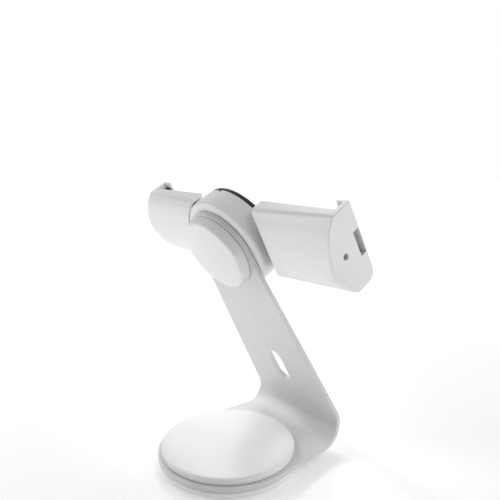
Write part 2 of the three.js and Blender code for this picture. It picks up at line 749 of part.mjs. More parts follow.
function base() {
  const group = new THREE.Group();
  group.add(footPad(), baseWeight(), baseClipRing(), ...baseScrews(), baseCap(), armPlate());
  return group;
}

function head() {
  const group = new THREE.Group();
  group.rotation.x = Math.PI / 2 - LEAN;
  group.position.set(0, HEAD_Y, HEAD_Z);
  group.add(pivotCap(), capRing(), ...capRingScrews(), outerFrictionWasher(), springWasher(), pivotNut());
  group.add(innerFrictionWasher(), pivotShaft(), drumHousing(), carrierBar(), ...carrierScrews());
  group.add(nutBlock('left', 1), ...blockScrews('left', 1));
  group.add(nutBlock('right', -1), ...blockScrews('right', -1));
  group.add(hubCover(), gripPad(), jaw('left', 1), jaw('right', -1));
  return group;
}

const tabletStand = new THREE.Group();
tabletStand.add(base(), head());

export default tabletStand;
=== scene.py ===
"""Tablet stand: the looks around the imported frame.

Pieces are built in millimetres, in the stand's frame or in the head's own frame, and placed in metres.
In the head's frame x runs across the tablet, y up it, and z is the depth from the arm's back face
towards the tablet, so the pivot cap behind the arm has a negative depth.
"""
import json
import math

import bmesh
import bpy
from mathutils import Matrix, Vector

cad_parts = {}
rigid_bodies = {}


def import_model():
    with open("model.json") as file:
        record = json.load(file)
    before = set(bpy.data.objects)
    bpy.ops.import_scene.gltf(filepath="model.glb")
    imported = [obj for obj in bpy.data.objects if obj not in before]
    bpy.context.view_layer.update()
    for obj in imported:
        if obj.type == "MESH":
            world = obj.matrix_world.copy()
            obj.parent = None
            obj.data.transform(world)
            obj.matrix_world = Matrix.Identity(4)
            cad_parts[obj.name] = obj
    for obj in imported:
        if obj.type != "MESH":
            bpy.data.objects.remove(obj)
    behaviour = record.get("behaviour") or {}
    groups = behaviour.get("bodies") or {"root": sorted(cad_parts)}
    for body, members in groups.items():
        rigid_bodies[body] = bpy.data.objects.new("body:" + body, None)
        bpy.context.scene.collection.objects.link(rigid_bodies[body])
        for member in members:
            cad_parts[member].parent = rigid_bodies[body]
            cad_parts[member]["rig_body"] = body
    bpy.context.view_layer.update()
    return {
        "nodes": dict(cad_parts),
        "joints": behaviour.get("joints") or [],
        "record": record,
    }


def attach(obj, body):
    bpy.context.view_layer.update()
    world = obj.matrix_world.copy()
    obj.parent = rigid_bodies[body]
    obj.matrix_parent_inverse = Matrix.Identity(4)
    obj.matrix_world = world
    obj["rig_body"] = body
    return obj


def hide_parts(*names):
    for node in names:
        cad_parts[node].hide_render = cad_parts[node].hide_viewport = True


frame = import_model()

# ---------------------------------------------------------------- places and sizes from the frame

MM = 0.001
GAP = 0.3

HEAD_JOINT = next(joint for joint in frame["joints"] if joint["name"] == "head_turn")
HEAD_PIVOT = Vector(HEAD_JOINT["pos_m"]) / MM
DEPTH_WAY = Vector(HEAD_JOINT["axis"]).normalized()
ACROSS_WAY = Vector((1, 0, 0))
UP_WAY = DEPTH_WAY.cross(ACROSS_WAY)
LEAN = math.atan2(UP_WAY.y, UP_WAY.z)

ON_TABLE = Matrix.Scale(MM, 4)
HEAD_AXES = Matrix((ACROSS_WAY, UP_WAY, DEPTH_WAY)).transposed().to_4x4()
AT_HEAD = ON_TABLE @ Matrix.Translation(HEAD_PIVOT) @ HEAD_AXES


def box_in(place, node):
    """A node's lowest and highest corners in millimetres, in the frame that a placement matrix sets."""
    inverse = place.inverted()
    points = [inverse @ vertex.co for vertex in frame["nodes"][node].data.vertices]
    low = Vector([min(point[axis] for point in points) for axis in range(3)])
    high = Vector([max(point[axis] for point in points) for axis in range(3)])
    return low, high


# ---------------------------------------------------------------- mesh code


def new_object(bm, name="piece"):
    bmesh.ops.recalc_face_normals(bm, faces=bm.faces)
    mesh = bpy.data.meshes.new(name)
    bm.to_mesh(mesh)
    bm.free()
    obj = bpy.data.objects.new(name, mesh)
    bpy.context.scene.collection.objects.link(obj)
    return obj


def on_circle(radius, angle, centre=(0, 0)):
    return Vector((centre[0] + radius * math.cos(angle), centre[1] + radius * math.sin(angle)))


def rounded(corners, steps=6, closed=True):
    """The points of a path whose corners are (x, y) or, where an arc replaces them, (x, y, radius)."""
    points = []
    last = len(corners) - 1
    for i, corner in enumerate(corners):
        here = Vector(corner[:2])
        radius = corner[2] if len(corner) > 2 else 0
        if radius <= 0 or (not closed and i in (0, last)):
            points.append(here)
            continue
        back = (Vector(corners[i - 1][:2]) - here).normalized()
        ahead = (Vector(corners[(i + 1) % (last + 1)][:2]) - here).normalized()
        half = back.angle(ahead) / 2
        centre = here + (back + ahead).normalized() * radius / math.sin(half)
        first = here + back * radius / math.tan(half) - centre
        final = here + ahead * radius / math.tan(half) - centre
        start = math.atan2(first.y, first.x)
        turn = (math.atan2(final.y, final.x) - start + math.pi) % (2 * math.pi) - math.pi
        points.extend(on_circle(radius, start + turn * k / steps, centre) for k in range(steps + 1))
    return points


def turned(profile, segments=144):
    """A body turned about z from (radius, height) points: a path between two on the axis, or a loop."""
    bm = bmesh.new()
    rings = []
    for radius, height in profile:
        count = 1 if radius < 1e-6 else segments
        angles = [2 * math.pi * k / segments for k in range(count)]
        rings.append([bm.verts.new((*on_circle(radius, angle), height)) for angle in angles])
    pairs = list(zip(rings, rings[1:]))
    if len(rings[0]) > 1:
        pairs.append((rings[-1], rings[0]))
    for lower, upper in pairs:
        for k in range(segments):
            n = (k + 1) % segments
            beneath = [lower[k % len(lower)], lower[n % len(lower)]]
            above = [upper[n % len(upper)], upper[k % len(upper)]]
            corners = list(dict.fromkeys(beneath + above))
            if len(corners) > 2:
                bm.faces.new(corners)
    return new_object(bm)


def prism(outline, low, high, turn=Matrix()):
    """An outline of (x, y) points carried from z = low to z = high, then turned."""
    bm = bmesh.new()
    floor = [bm.verts.new(turn @ Vector((*point, low))) for point in outline]
    roof = [bm.verts.new(turn @ Vector((*point, high))) for point in outline]
    bm.faces.new(floor)
    bm.faces.new(roof)
    for k in range(len(outline)):
        n = (k + 1) % len(outline)
        bm.faces.new((floor[k], floor[n], roof[n], roof[k]))
    return new_object(bm)


# Carries a prism along x: its own x, y and z become y, z and x.
ALONG_X = Matrix(((0, 0, 1, 0), (1, 0, 0, 0), (0, 1, 0, 0), (0, 0, 0, 1)))


def block(low, high, radius=0.0, turn=Matrix()):
    """A box between two corners whose four edges along the prism's own z are rounded."""
    low, high = turn.inverted() @ Vector(low), turn.inverted() @ Vector(high)
    corners = [(low.x, low.y), (high.x, low.y), (high.x, high.y), (low.x, high.y)]
    return prism(rounded([(x, y, radius) for x, y in corners]), low.z, high.z, turn)


def rod(radius, centre, low, high, turn=Matrix(), sides=64):
    outline = [on_circle(radius, 2 * math.pi * k / sides, centre) for k in range(sides)]
    return prism(outline, low, high, turn)


def apply_modifiers(obj):
    bpy.context.view_layer.update()
    mesh = bpy.data.meshes.new_from_object(obj.evaluated_get(bpy.context.evaluated_depsgraph_get()))
    obj.modifiers.clear()
    obj.data = mesh
    return obj


def combine(obj, tools, operation):
    for tool in tools:
        step = obj.modifiers.new("combine", "BOOLEAN")
        step.operation = operation
        step.solver = "EXACT"
        step.object = tool
    apply_modifiers(obj)
    for tool in tools:
        bpy.data.objects.remove(tool)
    return obj


def cut(obj, *tools):
    return combine(obj, tools, "DIFFERENCE")


def join(obj, *tools):
    return combine(obj, tools, "UNION")


def weld(obj, distance=0.01):
    """Merges the nearly double points that cutting leaves, before edges are rounded."""
    bm = bmesh.new()
    bm.from_mesh(obj.data)
    bmesh.ops.remove_doubles(bm, verts=bm.verts, dist=distance)
    bmesh.ops.dissolve_limit(bm, angle_limit=math.radians(0.5), verts=bm.verts, edges=bm.edges)
    bm.to_mesh(obj.data)
    bm.free()
    return obj


def soften(obj, width, segments=3, angle=40):
    """Rounds every edge that is sharper than the angle."""
    bevel = obj.modifiers.new("soften", "BEVEL")
    bevel.width = width
    bevel.segments = segments
    bevel.limit_method = "ANGLE"
    bevel.angle_limit = math.radians(angle)
    bevel.miter_outer = "MITER_ARC"
    return apply_modifiers(obj)


def mirror_across(obj):
    """The same piece on the other side of the head."""
    obj.data.transform(Matrix.Diagonal((-1, 1, 1, 1)))
    obj.data.flip_normals()
    return obj


# ---------------------------------------------------------------- materials


class Finish:
    """A material's node tree, written from the shader backwards."""

    def __init__(self, name):
        self.material = bpy.data.materials.new(name)
        self.material.use_nodes = True
        self.tree = self.material.node_tree
        self.shader = self.tree.nodes["Principled BSDF"]
        self.place = self.tree.nodes.new("ShaderNodeTexCoord").outputs["Object"]

    def feed(self, socket, value):
        if isinstance(value, bpy.types.NodeSocket):
            self.tree.links.new(value, socket)
        else:
            socket.default_value = value

    def node(self, kind, **inputs):
        made = self.tree.nodes.new(kind)
        for name, value in inputs.items():
            self.feed(made.inputs[name.replace("_", " ")], value)
        return made

    def noise(self, scale, detail=3.0, roughness=0.55):
        inputs = {"Vector": self.place, "Scale": scale, "Detail": detail, "Roughness": roughness}
        return self.node("ShaderNodeTexNoise", **inputs).outputs["Fac"]

    def remap(self, value, low, high, start=0.3, end=0.7):
        inputs = {"Value": value, "From_Min": start, "From_Max": end, "To_Min": low, "To_Max": high}
        return self.node("ShaderNodeMapRange", **inputs).outputs["Result"]

    def mix(self, factor, first, second):
        made = self.tree.nodes.new("ShaderNodeMix")
        made.data_type = "RGBA"
        colours = [socket for socket in made.inputs if socket.type == "RGBA"]
        self.feed(made.inputs["Factor"], factor)
        self.feed(colours[0], first)
        self.feed(colours[1], second)
        return next(socket for socket in made.outputs if socket.type == "RGBA")

    def bump(self, height, strength, distance, under=None):
        made = self.node("ShaderNodeBump", Height=height, Strength=strength, Distance=distance)
        if under is not None:
            self.feed(made.inputs["Normal"], under)
        return made.outputs["Normal"]

    def edge_highlight_mask(self):
        """0 on flats and in hollows, rising to 1 on outer edges: the mask of a painted highlight that
        lightens edges as if they caught the light.
        """
        pointiness = self.node("ShaderNodeNewGeometry").outputs["Pointiness"]
        return self.remap(pointiness, 0.0, 1.0, 0.51, 0.6)

    def set(self, colour=None, roughness=None, normal=None, **plain):
        for name, value in (("Base Color", colour), ("Roughness", roughness), ("Normal", normal)):
            if value is not None:
                self.feed(self.shader.inputs[name], value)
        for name, value in plain.items():
            self.shader.inputs[name.replace("_", " ")].default_value = value
        return self.material


def grey(value, warmth=0.0):
    return (value * (1 + warmth), value, value * (1 - warmth), 1.0)


def powder_coat(name, tone):
    """White powder coat on steel: satin, with fine orange peel, and a painted highlight that lightens its
    edges.
    """
    f = Finish(name)
    cloud = f.mix(f.remap(f.noise(38, 4), 0, 1), grey(tone - 0.02, 0.003), grey(tone + 0.015, 0.001))
    flecked = f.mix(f.remap(f.noise(2600, 2), 0, 0.3, 0.55, 0.8), cloud, grey(tone - 0.05))
    # painted highlight: the colour turns lighter along outer edges, standing in for light caught by the
    # rounded edges
    colour = f.mix(f.remap(f.edge_highlight_mask(), 0, 0.35, 0, 1), flecked, grey(tone + 0.07))
    peel = f.bump(f.noise(1500, 2, 0.5), 0.22, 0.03 * MM)
    normal = f.bump(f.noise(240, 2), 0.1, 0.05 * MM, peel)
    return f.set(colour, f.remap(f.noise(420), 0.3, 0.42), normal)


def moulded(name, tone, roughness, grain):
    """White moulded plastic with a fine spark-eroded grain and handling marks in its gloss."""
    f = Finish(name)
    body = f.mix(f.remap(f.noise(30, 5), 0, 1), grey(tone - 0.012, 0.002), grey(tone + 0.008))
    # painted highlight: lighter along outer edges, standing in for light caught by the rounded edges
    colour = f.mix(f.remap(f.edge_highlight_mask(), 0, 0.3, 0, 1), body, grey(min(tone + 0.05, 0.93)))
    smear = f.remap(f.noise(60, 6, 0.7), roughness - 0.05, roughness + 0.07)
    normal = f.bump(f.noise(3200, 2), grain, 0.02 * MM)
    return f.set(colour, smear, normal, Coat_Weight=0.1, Coat_Roughness=0.25)


def rubber(name, tone):
    """Dark rubber: matt, with a cast pebble grain and dust on its high spots."""
    f = Finish(name)
    dust = f.noise(500, 5, 0.7)
    pebble = f.node("ShaderNodeTexVoronoi", Vector=f.place, Scale=1400).outputs["Distance"]
    colour = f.mix(f.remap(dust, 0, 1, 0.45, 0.8), grey(tone), grey(tone * 2.5))
    return f.set(colour, f.remap(dust, 0.62, 0.85), f.bump(pebble, 0.5, 0.06 * MM), Sheen_Weight=0.12)


def black_plastic():
    f = Finish("black_plastic")
    colour = f.mix(f.remap(f.noise(90, 4), 0, 1), grey(0.016), grey(0.028))
    return f.set(colour, f.remap(f.noise(700, 4), 0.4, 0.56), f.bump(f.noise(2400, 2), 0.4, 0.03 * MM))


def drawn_metal(name, dark, light, roughness):
    """Plated or machined metal, with fine lines drawn along x in its colour and gloss."""
    f = Finish(name)
    stretched = f.node("ShaderNodeMapping", Vector=f.place, Scale=(60, 3000, 3000)).outputs["Vector"]
    lines = f.node("ShaderNodeTexNoise", Vector=stretched, Scale=1, Detail=3).outputs["Fac"]
    colour = f.mix(f.remap(lines, 0, 1), dark, light)
    gloss = f.remap(lines, roughness - 0.07, roughness + 0.09)
    return f.set(colour, gloss, f.bump(lines, 0.15, 0.02 * MM), Metallic=1.0)


def fibre():
    f = Finish("pressed_fibre")
    fleck = f.noise(900, 6, 0.75)
    colour = f.mix(f.remap(fleck, 0, 1), (0.1, 0.07, 0.045, 1), (0.2, 0.15, 0.1, 1))
    return f.set(colour, f.remap(fleck, 0.7, 0.9), f.bump(fleck, 0.4, 0.05 * MM))


MATERIALS = {
    "paint_white": powder_coat("white_powder_coat", 0.72),
    "plastic_white": moulded("satin_white_plastic", 0.87, 0.36, 0.3),
    "plastic_black": black_plastic(),
    "rubber_black": rubber("black_rubber", 0.015),
    "steel_bright": drawn_metal("zinc_plated_steel", (0.46, 0.47, 0.49, 1), (0.62, 0.63, 0.64, 1), 0.3),
    "brass_plain": drawn_metal("machined_brass", (0.55, 0.42, 0.2, 1), (0.72, 0.58, 0.32, 1), 0.3),
    "fibre_brown": fibre(),
}
SLOT_OF = {part["node"]: part["material_slot"] for part in frame["record"]["subparts"]}


def stand_for(obj, node, place, sharp=35):
    """Puts a finished piece in its place, in the finish and on the body of the node that it replaces."""
    obj.name = node + "_fine"
    obj.data.name = obj.name
    obj.data.transform(place)
    obj.data.shade_smooth()
    obj.data.set_sharp_from_angle(angle=math.radians(sharp))
    normals = obj.modifiers.new("normals", "WEIGHTED_NORMAL")
    normals.keep_sharp = True
    obj.data.materials.clear()
    obj.data.materials.append(MATERIALS[SLOT_OF[node]])
    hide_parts(node)
    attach(obj, frame["nodes"][node]["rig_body"])
    return obj


# ---------------------------------------------------------------- base


def around(radius, count, start):
    """Points spread evenly round a circle."""
    return [on_circle(radius, start + 2 * math.pi * k / count) for k in range(count)]


BASE_SCREWS = around(35.5, 4, math.pi / 4)
BASE_SCREW_HOLE_R = 2.3
WEIGHT_LIT_TONE = 0.91  # painted light: a lighter copy of the arm's paint, which makes the weight's sides look more brightly lit
CAP_RING_SCREWS = around(20.2, 3, math.pi / 2)
CAP_RING_HOLE_R = 1.2


def foot_pad():
    high = box_in(ON_TABLE, "foot_pad")[1]
    profile = rounded([(0, high.z), (high.x, high.z, 0.3), (high.x, 0, 0.4), (0, 0)], closed=False)
    stand_for(turned(profile), "foot_pad", ON_TABLE)


def base_weight():
    low, high = box_in(ON_TABLE, "base_weight")
    pad = box_in(ON_TABLE, "foot_pad")[1]
    recess_r = pad.x + 0.4
    recess_top = pad.z + GAP
    corners = [
        (0, high.z),
        (high.x, high.z, 0.6),
        (high.x, high.z - 1.3, 0.6),
        (high.x - 0.7, low.z, 0.7),
        (recess_r, low.z, 0.15),
        (recess_r, recess_top),
        (0, recess_top),
    ]
    weight = turned(rounded(corners, closed=False), 192)
    cut(weight, *[rod(BASE_SCREW_HOLE_R, spot, -1, high.z + 1, sides=32) for spot in BASE_SCREWS])
    stand_for(weight, "base_weight", ON_TABLE)
    # painted light: the weight wears a lighter copy of the white paint, standing in for more light on its
    # sides
    weight.data.materials[0] = powder_coat("lit_copy_powder_coat", WEIGHT_LIT_TONE)


CROWN_STEPS = 24


def dome(radius, top, drop):
    """Points of a shallow dome from the axis out to a radius, where it has fallen by the drop."""
    return [(radius * k / CROWN_STEPS, top - drop * (k / CROWN_STEPS) ** 2) for k in range(CROWN_STEPS)]


def base_cap():
    low, high = box_in(ON_TABLE, "base_cap")
    wall = 2.0
    edge_drop = 0.6
    crown_inset = 2.0
    crown = dome(high.x - crown_inset, high.z, edge_drop)
    edge = [(high.x, high.z - edge_drop - 0.3, 1.5), (high.x, low.z, 0.25), (high.x - wall, low.z, 0.2)]
    under = [(high.x - wall, high.z - edge_drop - wall, 0.5), (0, high.z - wall)]
    profile = rounded(crown + edge + under, steps=8, closed=False)
    stand_for(turned(profile, 192), "base_cap", ON_TABLE, sharp=50)


# ---------------------------------------------------------------- arm

PLATE = 3.0
BEND_R = 12.0
SLOT_BELOW = 101.5
SLOT_LENGTH = 28.2
SLOT_WIDTH = 12.4
SHAFT_HOLE_R = 8.05
ARM_EDGE = 0.4
BEND_STEPS = 48

ARM_BOX = box_in(ON_TABLE, "arm_plate")
HEAD_R = box_in(AT_HEAD, "arm_plate")[1].y
FOOT_R = ARM_BOX[1].x
FOOT_TOP = box_in(ON_TABLE, "base_cap")[0].z - GAP
TURN = math.pi / 2 + LEAN
CORNER = (HEAD_PIVOT.z - FOOT_TOP) / math.cos(LEAN)
SETBACK = BEND_R / math.tan((math.pi - TURN) / 2)
BEND_START = CORNER - SETBACK
BEND_LENGTH = (BEND_R + PLATE / 2) * TURN
BEND_END = BEND_START + BEND_LENGTH
BEND_Y = HEAD_PIVOT.y - CORNER * math.sin(LEAN) + SETBACK
FLAT_LENGTH = BEND_END - BEND_Y
EDGE_ANGLE = math.asin((FOOT_R - HEAD_R) / FLAT_LENGTH)


def on_arm(point):
    """A point of the flat pattern, bent: x across, y down from the head, z in from the back face."""
    across, along, depth = point
    if along <= BEND_START:
        return HEAD_PIVOT + ACROSS_WAY * across - UP_WAY * along + DEPTH_WAY * depth
    if along <= BEND_END:
        angle = -LEAN + TURN * (along - BEND_START) / BEND_LENGTH
        radius = BEND_R + depth
        y = BEND_Y - radius * math.cos(angle)
        return Vector((across, y, FOOT_TOP + BEND_R - radius * math.sin(angle)))
    return Vector((across, BEND_Y + along - BEND_END, FOOT_TOP - depth))


def arc(radius, centre, start, turn, steps):
    return [on_circle(radius, start + turn * k / steps, centre) for k in range(steps + 1)]


def arm_outline():
    """The flat teardrop: the foot's arc and the head's arc, joined by their common tangents."""
    foot = arc(FOOT_R, (0, FLAT_LENGTH), -EDGE_ANGLE, math.pi + 2 * EDGE_ANGLE, 96)
    head = arc(HEAD_R, (0, 0), math.pi + EDGE_ANGLE, math.pi - 2 * EDGE_ANGLE, 96)
    return foot + head


def slot_outline():
    radius = SLOT_WIDTH / 2
    reach = SLOT_LENGTH / 2 - radius
    lower_end = arc(radius, (0, SLOT_BELOW + reach), 0, math.pi, 24)
    upper_end = arc(radius, (0, SLOT_BELOW - reach), math.pi, math.pi, 24)
    return lower_end + upper_end


def arm_plate():
    blank = prism(arm_outline(), 0, PLATE)
    foot_spots = [(x, FLAT_LENGTH + y) for x, y in BASE_SCREWS]
    head_spots = [(x, -y) for x, y in CAP_RING_SCREWS]
    holes = [prism(slot_outline(), -1, PLATE + 1), rod(SHAFT_HOLE_R, (0, 0), -1, PLATE + 1)]
    holes.extend(rod(BASE_SCREW_HOLE_R, spot, -1, PLATE + 1, sides=24) for spot in foot_spots)
    holes.extend(rod(CAP_RING_HOLE_R, spot, -1, PLATE + 1, sides=24) for spot in head_spots)
    cut(blank, *holes)
    soften(blank, ARM_EDGE)
    bm = bmesh.new()
    bm.from_mesh(blank.data)
    bmesh.ops.triangulate(bm, faces=[face for face in bm.faces if len(face.verts) > 4])
    rows = [BEND_START + BEND_LENGTH * k / BEND_STEPS for k in range(BEND_STEPS + 1)]
    for row in rows:
        geometry = bm.verts[:] + bm.edges[:] + bm.faces[:]
        bmesh.ops.bisect_plane(bm, geom=geometry, plane_co=(0, row, 0), plane_no=(0, 1, 0), dist=1e-5)
    for vertex in bm.verts:
        vertex.co = on_arm(vertex.co)
    bmesh.ops.recalc_face_normals(bm, faces=bm.faces)
    bm.to_mesh(blank.data)
    bm.free()
    stand_for(blank, "arm_plate", ON_TABLE)


# ---------------------------------------------------------------- pivot and drum


def pivot_cap():
    low, high = box_in(AT_HEAD, "pivot_cap")
    wall = 2.2
    crown_drop = 1.3
    draft = 0.5
    crown_inset = 2.0
    edge_depth = low.z + crown_drop
    crown = dome(high.x - draft - crown_inset, low.z, -crown_drop)
    edge = [(high.x - draft, edge_depth, 1.6), (high.x, high.z, 0.2), (high.x - wall, high.z, 0.2)]
    under = [(high.x - wall, edge_depth + 0.5, 0.5), (0, edge_depth + 0.5)]
    profile = rounded(crown + edge + under, steps=8, closed=False)
    stand_for(turned(profile, 192), "pivot_cap", AT_HEAD, sharp=50)


DRUM_BOX = box_in(AT_HEAD, "drum_housing")
DRUM_R = DRUM_BOX[1].x
DRUM_WALL = 2.2
WINDOW_HALF = 12.0
WINDOW_FROM = 12.6
WINDOW_INSIDE = 12  # how far in from the drum's outside a window's cut begins
NOTCH_HALF = 1.6
NOTCH_DEPTH = 1.3
COVER_RIM = 1.0  # the height of the black cover's rim, which stands on the drum's edge

BOSSES = [(x, y) for x in (-12, 12) for y in (-8, 8)]
BOSS_R = 3.0
BOSS_PILOT_R = 1.4
BOSS_PILOT_FROM = 10
BLOCK_SCREWS = [(x, y) for x in (-23, 23) for y in (-6.4, 6.4)]
BLOCK_SCREW_HOLE_R = 1.3


def windows():
    """The two side openings that the carrier bar passes through."""
    near, far = DRUM_R - WINDOW_INSIDE, DRUM_R + 5
    top = DRUM_BOX[1].z + 1
    return [
        block((near, -WINDOW_HALF, WINDOW_FROM), (far, WINDOW_HALF, top)),
        block((-far, -WINDOW_HALF, WINDOW_FROM), (-near, WINDOW_HALF, top)),
    ]


def drum_housing():
    """The cup round the pivot, with bosses for the carrier bar, two windows and a notch in its edge."""
    front, rear = DRUM_BOX[0].z, DRUM_BOX[1].z - COVER_RIM
    floor = front + 3.0
    washer_seat = front + 1.5
    washer_r = 16
    collar_top = floor + 0.5
    collar_r = 18
    corners = [
        (SHAFT_HOLE_R, washer_seat, 0.2),
        (washer_r, washer_seat),
        (washer_r, front, 0.3),
        (DRUM_R, front, 2.6),
        (DRUM_R, rear, 0.3),
        (DRUM_R - DRUM_WALL, rear, 0.3),
        (DRUM_R - DRUM_WALL, floor, 0.5),
        (collar_r, floor),
        (collar_r, collar_top),
        (SHAFT_HOLE_R, collar_top, 0.2),
    ]
    shell = turned(rounded(corners), 192)
    boss_top = box_in(AT_HEAD, "carrier_bar")[0].z - GAP
    join(shell, *[rod(BOSS_R, spot, floor - 0.5, boss_top, sides=32) for spot in BOSSES])
    cut(shell, *[rod(BOSS_PILOT_R, spot, BOSS_PILOT_FROM, boss_top + 1, sides=24) for spot in BOSSES])
    cut(shell, *windows())
    notch_low = (-NOTCH_HALF, DRUM_R - DRUM_WALL - 1, rear - NOTCH_DEPTH)
    cut(shell, block(notch_low, (NOTCH_HALF, DRUM_R + 1, rear + 1)))
    stand_for(shell, "drum_housing", AT_HEAD)


def hub_cover():
    """The black disc over the drum's open side, with a rim that stands on the drum's edge."""
    low, high = box_in(AT_HEAD, "hub_cover")
    inside = high.x - DRUM_WALL
    rim_end = DRUM_BOX[1].z - COVER_RIM + GAP
    rim = [(inside, low.z), (inside, rim_end, 0.2), (high.x, rim_end, 0.2)]
    corners = [(0, low.z), *rim, (high.x, high.z, 0.3), (0, high.z)]
    cover = turned(rounded(corners, closed=False), 192)
    stand_for(cut(cover, *windows()), "hub_cover", AT_HEAD)


def grip_pad():
    """The rubber disc that the tablet rests on, with fine turned ribs in its face."""
    low, high = box_in(AT_HEAD, "grip_pad")
    rib_pitch = 2.0
    rib_count = 12
    groove = 0.25
    rim = 0.3
    profile = [(0, low.z), (high.x - rim, low.z), (high.x, low.z + rim), (high.x, high.z - rim)]
    profile.append((high.x - rim, high.z))
    for k in range(rib_count):
        radius = high.x - 2.5 - k * rib_pitch
        profile.extend([(radius + 0.4, high.z), (radius + 0.2, high.z - groove)])
        profile.extend([(radius - 0.2, high.z - groove), (radius - 0.4, high.z)])
    profile.append((0, high.z))
    stand_for(turned(profile, 144), "grip_pad", AT_HEAD)


def carrier_bar():
    low, high = box_in(AT_HEAD, "carrier_bar")
    bar = block(low, high, 1.5)
    holes = [rod(BOSS_PILOT_R + 0.1, spot, low.z - 1, high.z + 1, sides=24) for spot in BOSSES]
    holes.extend(rod(BLOCK_SCREW_HOLE_R, spot, low.z - 1, high.z + 1, sides=24) for spot in BLOCK_SCREWS)
    stand_for(soften(cut(bar, *holes), 0.2), "carrier_bar", AT_HEAD)


# ---------------------------------------------------------------- jaws, made for +x and mirrored

JAW_BOX = box_in(AT_HEAD, "jaw_shell_left")
HALF_HEIGHT = JAW_BOX[1].y
CROWN_DEPTH = JAW_BOX[0].z
JAW_FRONT = JAW_BOX[1].z
JAW_OUTER = JAW_BOX[1].x
INNER_R = 38.0
END_WALL = 3.0
END_INSIDE = JAW_OUTER - END_WALL
JAW_WALL = 2.0
BACK_PLANE = box_in(AT_HEAD, "grip_pad")[1].z
WALL_FACE = BACK_PLANE - 0.3
LIP_INSIDE = BACK_PLANE + 6.8
LIP_REACH = 8.0
PORT_LOW = (-7.2, 25.5)  # the port window's lowest corner, as (height, depth)
PORT_HIGH = (8.2, 30.0)
PLUG_SLOT_INSET = 3.0
POST_Y = 15.0
POST_R = 2.6
POST_PILOT_R = 1.2
SCREW_DEPTH = 15.3
KEY_HOLE_R = 1.9
PAD_BOX = box_in(AT_HEAD, "back_pad_left")
PAD_MARGIN = 0.4

TOP_CORNER = 5.0
LOW_CORNER = 6.0
FRONT_CORNER = 6.0
CROWN_STOP = 0.74  # how far the crown's points stay from a corner, as a share of its radius

BODY_START = 20.0
# The crown of the jaw's back at its two ends: its least depth, the height of that line, its radius.
INNER_CROWN = (6.6, -2.5, 70.0)
OUTER_CROWN = (CROWN_DEPTH, -0.8, 32.0)


def jaw_outline(crown, inset=0.0, front=JAW_FRONT):
    """The jaw's section as (height, depth): a crowned back, flat top and bottom, a straight front."""
    least, middle, radius = crown

    def depth_at(height):
        return least + radius - math.sqrt((radius - inset) ** 2 - (height - middle) ** 2)

    half = HALF_HEIGHT - inset
    steps = 40
    low, high = -half + LOW_CORNER * CROWN_STOP, half - TOP_CORNER * CROWN_STOP
    heights = [low + (high - low) * k / steps for k in range(steps + 1)]
    corners = [(height, depth_at(height)) for height in heights]
    corners.append((half, depth_at(half), TOP_CORNER - inset))
    corners.append((half, front))
    corners.append((-half, front, FRONT_CORNER if inset == 0 else 0))
    # Inside, this corner is tighter still, so that it ends before the hollow's front.
    corners.append((-half, depth_at(-half), LOW_CORNER - 2 * inset))
    return rounded(corners, steps=8)


END_ROUND_TOP = 0.5
END_ROUND_LOW = 6.0
END_ROUND_EDGE = 0.6
END_CRISP_ABOVE = 10.0  # the height down to which the end's edge stays crisp
END_ROUND_REACH = 24.0
END_STEPS = 10


def end_round(height, outward):
    """The radius where the end face meets the section there: wide low on the back, small elsewhere."""
    fall = min(max((END_CRISP_ABOVE - height) / END_ROUND_REACH, 0), 1)
    on_back = END_ROUND_TOP + (END_ROUND_LOW - END_ROUND_TOP) * fall * fall * (3 - 2 * fall)
    facing_back = max(-outward.y, 0) ** 2
    return END_ROUND_EDGE + (on_back - END_ROUND_EDGE) * facing_back


def between_rings(bm, rings):
    """Skins closed rings of as many vertices each, and closes both ends."""
    count = len(rings[0])
    for near, far in zip(rings, rings[1:]):
        for i in range(count):
            n = (i + 1) % count
            bm.faces.new((near[i], near[n], far[n], far[i]))
    bm.faces.new(rings[0])
    bm.faces.new(rings[-1])


def jaw_hollow():
    """The room inside the jaw, one wall in from its back, top and bottom."""
    bm = bmesh.new()
    rings = []
    for x, crown in ((BODY_START - 1, INNER_CROWN), (END_INSIDE, OUTER_CROWN)):
        outline = jaw_outline(crown, JAW_WALL, WALL_FACE - JAW_WALL)
        rings.append([bm.verts.new((x, *point)) for point in outline])
    between_rings(bm, rings)
    return new_object(bm)


def jaw_body():
    """The solid jaw: a section that grows rounder outwards, drawn in round the end by a varying radius."""
    outline = jaw_outline(OUTER_CROWN)
    count = len(outline)
    winding = 1 if sum(outline[i - 1].cross(outline[i]) for i in range(count)) > 0 else -1
    outward = []
    for i in range(count):
        tangent = (outline[(i + 1) % count] - outline[i - 1]).normalized() * winding
        outward.append(Vector((tangent.y, -tangent.x)))
    bm = bmesh.new()
    rings = [[bm.verts.new((BODY_START, *point)) for point in jaw_outline(INNER_CROWN)]]
    for k in range(END_STEPS + 1):
        angle = math.pi / 2 * k / END_STEPS
        ring = []
        for point, normal in zip(outline, outward):
            radius = end_round(point.x, normal)
            drawn = point - normal * radius * (1 - math.cos(angle))
            ring.append(bm.verts.new((JAW_OUTER - radius * (1 - math.sin(angle)), *drawn)))
        rings.append(ring)
    between_rings(bm, rings)
    return new_object(bm)


